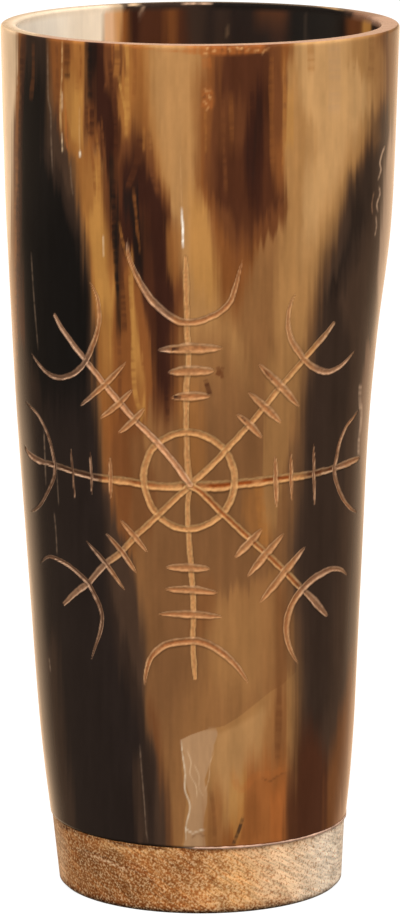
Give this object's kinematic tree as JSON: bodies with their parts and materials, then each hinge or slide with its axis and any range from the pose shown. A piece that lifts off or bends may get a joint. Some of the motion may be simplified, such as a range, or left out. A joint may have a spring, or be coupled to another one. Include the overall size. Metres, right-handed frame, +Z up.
{
  "type": "drinking cup",
  "caption": "Tall open drinking tumbler of polished horn, engraved on one side, glued on a turned wooden base.",
  "frame": {"origin": "centre of the wooden underside, on the surface that the cup stands on", "axes": "+Z up through the mouth; -Y is the engraved front; +X is to the right when the front is faced"},
  "size_m": [0.07, 0.069, 0.155],
  "materials": {
    "horn": "polished natural horn, near black to golden brown with cream streaks",
    "wood": "fine-pored pale brown wood, sanded and barely oiled",
    "glue": "dried glue, pale and slightly ragged",
    "resin": "clear amber sealing resin, glossy"
  },
  "bodies": {
    "root": {"horn_wall": "horn", "wood_base": "wood", "glue_line": "glue", "resin_seal": "resin"}
  },
  "joints": []
}
